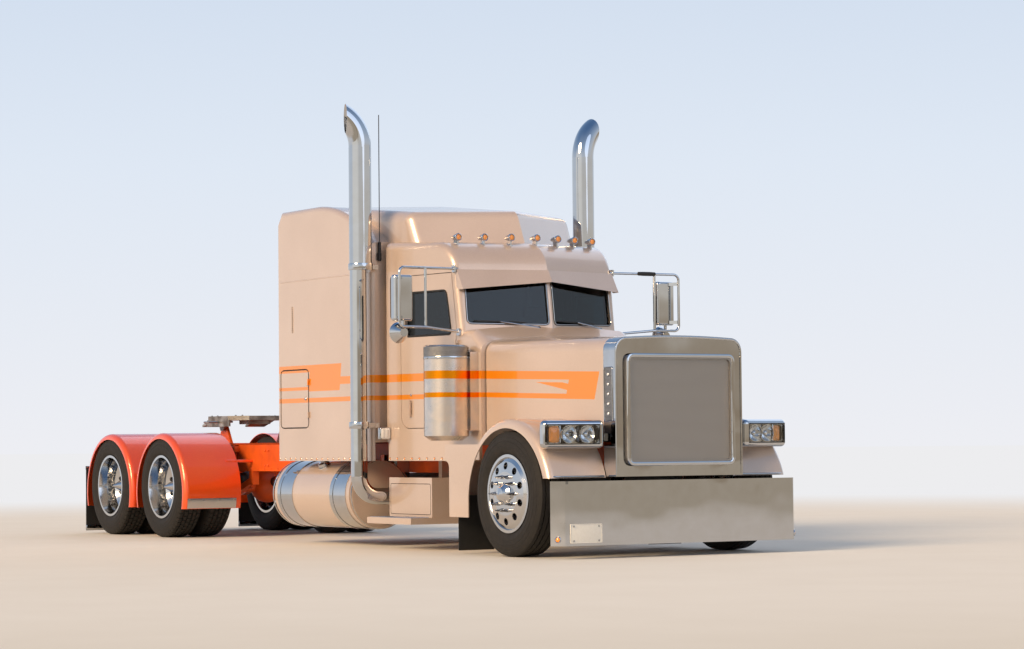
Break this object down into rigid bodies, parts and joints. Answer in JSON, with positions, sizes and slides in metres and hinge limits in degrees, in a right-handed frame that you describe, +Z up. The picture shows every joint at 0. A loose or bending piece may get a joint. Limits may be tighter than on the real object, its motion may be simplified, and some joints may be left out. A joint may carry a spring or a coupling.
{
  "type": "semi truck tractor unit",
  "caption": "Long-nose road tractor unit with a high sleeper, twin drive axles, fifth wheel, tall exhaust stacks, tilting hood, opening doors and steered front wheels.",
  "frame": {"origin": "on the ground under the middle of the overall length and width", "axes": "+X forward, +Y to the truck's left, +Z up"},
  "size_m": [9.641, 2.948, 4.0186],
  "materials": {
    "body_paint": "champagne metallic gloss",
    "orange_paint": "orange pearl gloss",
    "black_paint": "satin black",
    "chrome": "mirror",
    "aluminium": "satin",
    "polished_wheel": "polished",
    "steel_mesh": "fine perforated",
    "engine_iron": "painted casting",
    "rubber": "matte",
    "tyre": "matte",
    "clear_glass": "clear",
    "black_plastic": "matte",
    "seat_fabric": "woven"
  },
  "bodies": {
    "truck": {"frame": "orange_paint", "front_axle": "black_paint", "rear_axles": "black_paint", "engine": "engine_iron", "driveshafts": "black_paint", "radiator": "aluminium", "bumper": "chrome", "fuel_tanks": "body_paint", "tank_straps": "chrome", "step_boxes": "body_paint", "exhaust_stacks": "chrome", "rear_fenders": "orange_paint", "mud_flaps": "rubber", "fifth_wheel_mount": "black_paint", "cab": "body_paint", "windshield": "clear_glass", "visor": "body_paint", "roof_lights": "chrome", "mirrors": "chrome", "sleeper": "body_paint", "sleeper_roof": "body_paint", "air_cleaners": "body_paint", "dashboard": "black_plastic", "seats": "seat_fabric", "antenna": "black_plastic"},
    "hood": {"hood": "body_paint", "front_fenders": "body_paint", "radiator_shell": "chrome", "grille": "steel_mesh", "headlights": "chrome", "headlight_lenses": "clear_glass"},
    "door_left": {"door_left": "body_paint", "door_glass_left": "clear_glass"},
    "door_right": {"door_right": "body_paint", "door_glass_right": "clear_glass"},
    "luggage_door_left": {"luggage_door_left": "body_paint"},
    "luggage_door_right": {"luggage_door_right": "body_paint"},
    "knuckle_left": {"knuckle_left": "black_paint"},
    "knuckle_right": {"knuckle_right": "black_paint"},
    "tie_rod": {"tie_rod": "black_paint"},
    "front_wheel_left": {"wheel_front_left": "polished_wheel", "tyre_front_left": "tyre"},
    "front_wheel_right": {"wheel_front_right": "polished_wheel", "tyre_front_right": "tyre"},
    "drive_wheels_left": {"wheels_drive_left": "polished_wheel", "tyres_drive_left": "tyre"},
    "drive_wheels_right": {"wheels_drive_right": "polished_wheel", "tyres_drive_right": "tyre"},
    "rear_wheels_left": {"wheels_rear_left": "polished_wheel", "tyres_rear_left": "tyre"},
    "rear_wheels_right": {"wheels_rear_right": "polished_wheel", "tyres_rear_right": "tyre"},
    "fifth_wheel_plate": {"fifth_wheel_plate": "black_paint"},
    "steering_wheel": {"steering_wheel": "black_plastic"}
  },
  "joints": [
    {"name": "hood_hinge", "type": "hinge", "parent": "truck", "child": "hood", "pos_m": [4.7555, 0, 0.69], "axis": [0, 1, 0], "range_deg": [0, 80]},
    {"name": "door_left_hinge", "type": "hinge", "parent": "truck", "child": "door_left", "pos_m": [2.5645, 0.838, 1.5], "axis": [0, 0, -1], "range_deg": [0, 70]},
    {"name": "door_right_hinge", "type": "hinge", "parent": "truck", "child": "door_right", "pos_m": [2.5645, -0.838, 1.5], "axis": [0, 0, 1], "range_deg": [0, 70]},
    {"name": "luggage_door_left_hinge", "type": "hinge", "parent": "truck", "child": "luggage_door_left", "pos_m": [0.2465, 1.097, 1.375], "axis": [0, 0, -1], "range_deg": [0, 100]},
    {"name": "luggage_door_right_hinge", "type": "hinge", "parent": "truck", "child": "luggage_door_right", "pos_m": [0.2465, -1.097, 1.375], "axis": [0, 0, 1], "range_deg": [0, 100]},
    {"name": "steer_left", "type": "hinge", "parent": "truck", "child": "knuckle_left", "pos_m": [3.9805, 0.872, 0.521], "axis": [0, 0, 1], "range_deg": [-35, 35]},
    {"name": "steer_right", "type": "hinge", "parent": "truck", "child": "knuckle_right", "pos_m": [3.9805, -0.872, 0.521], "axis": [0, 0, 1], "range_deg": [-35, 35]},
    {"name": "tie_rod_pivot", "type": "hinge", "parent": "knuckle_left", "child": "tie_rod", "pos_m": [3.7705, 0.872, 0.385], "axis": [0, 0, 1], "range_deg": [-35, 35]},
    {"name": "steering_wheel_turn", "type": "hinge", "parent": "truck", "child": "steering_wheel", "pos_m": [2.3805, 0.45, 1.78], "axis": [-0.7431, 0, 0.6691], "range_deg": [-630, 630]},
    {"name": "fifth_wheel_tilt", "type": "hinge", "parent": "truck", "child": "fifth_wheel_plate", "pos_m": [-3.1195, 0, 1.13], "axis": [0, 1, 0], "range_deg": [-12, 12]},
    {"name": "front_wheel_left_spin", "type": "hinge", "parent": "knuckle_left", "child": "front_wheel_left", "pos_m": [3.9805, 1.053, 0.521], "axis": [0, 1, 0], "continuous": true},
    {"name": "drive_wheels_left_spin", "type": "hinge", "parent": "truck", "child": "drive_wheels_left", "pos_m": [-2.8295, 0.9265, 0.521], "axis": [0, 1, 0], "continuous": true},
    {"name": "rear_wheels_left_spin", "type": "hinge", "parent": "truck", "child": "rear_wheels_left", "pos_m": [-4.1505, 0.9265, 0.521], "axis": [0, 1, 0], "continuous": true},
    {"name": "front_wheel_right_spin", "type": "hinge", "parent": "knuckle_right", "child": "front_wheel_right", "pos_m": [3.9805, -1.053, 0.521], "axis": [0, 1, 0], "continuous": true},
    {"name": "drive_wheels_right_spin", "type": "hinge", "parent": "truck", "child": "drive_wheels_right", "pos_m": [-2.8295, -0.9265, 0.521], "axis": [0, 1, 0], "continuous": true},
    {"name": "rear_wheels_right_spin", "type": "hinge", "parent": "truck", "child": "rear_wheels_right", "pos_m": [-4.1505, -0.9265, 0.521], "axis": [0, 1, 0], "continuous": true}
  ],
  "couplings": [
    {"joint": "steer_right", "follows": "steer_left", "ratio": 1},
    {"joint": "tie_rod_pivot", "follows": "steer_left", "ratio": -1},
    {"joint": "steering_wheel_turn", "follows": "steer_left", "ratio": 18}
  ]
}
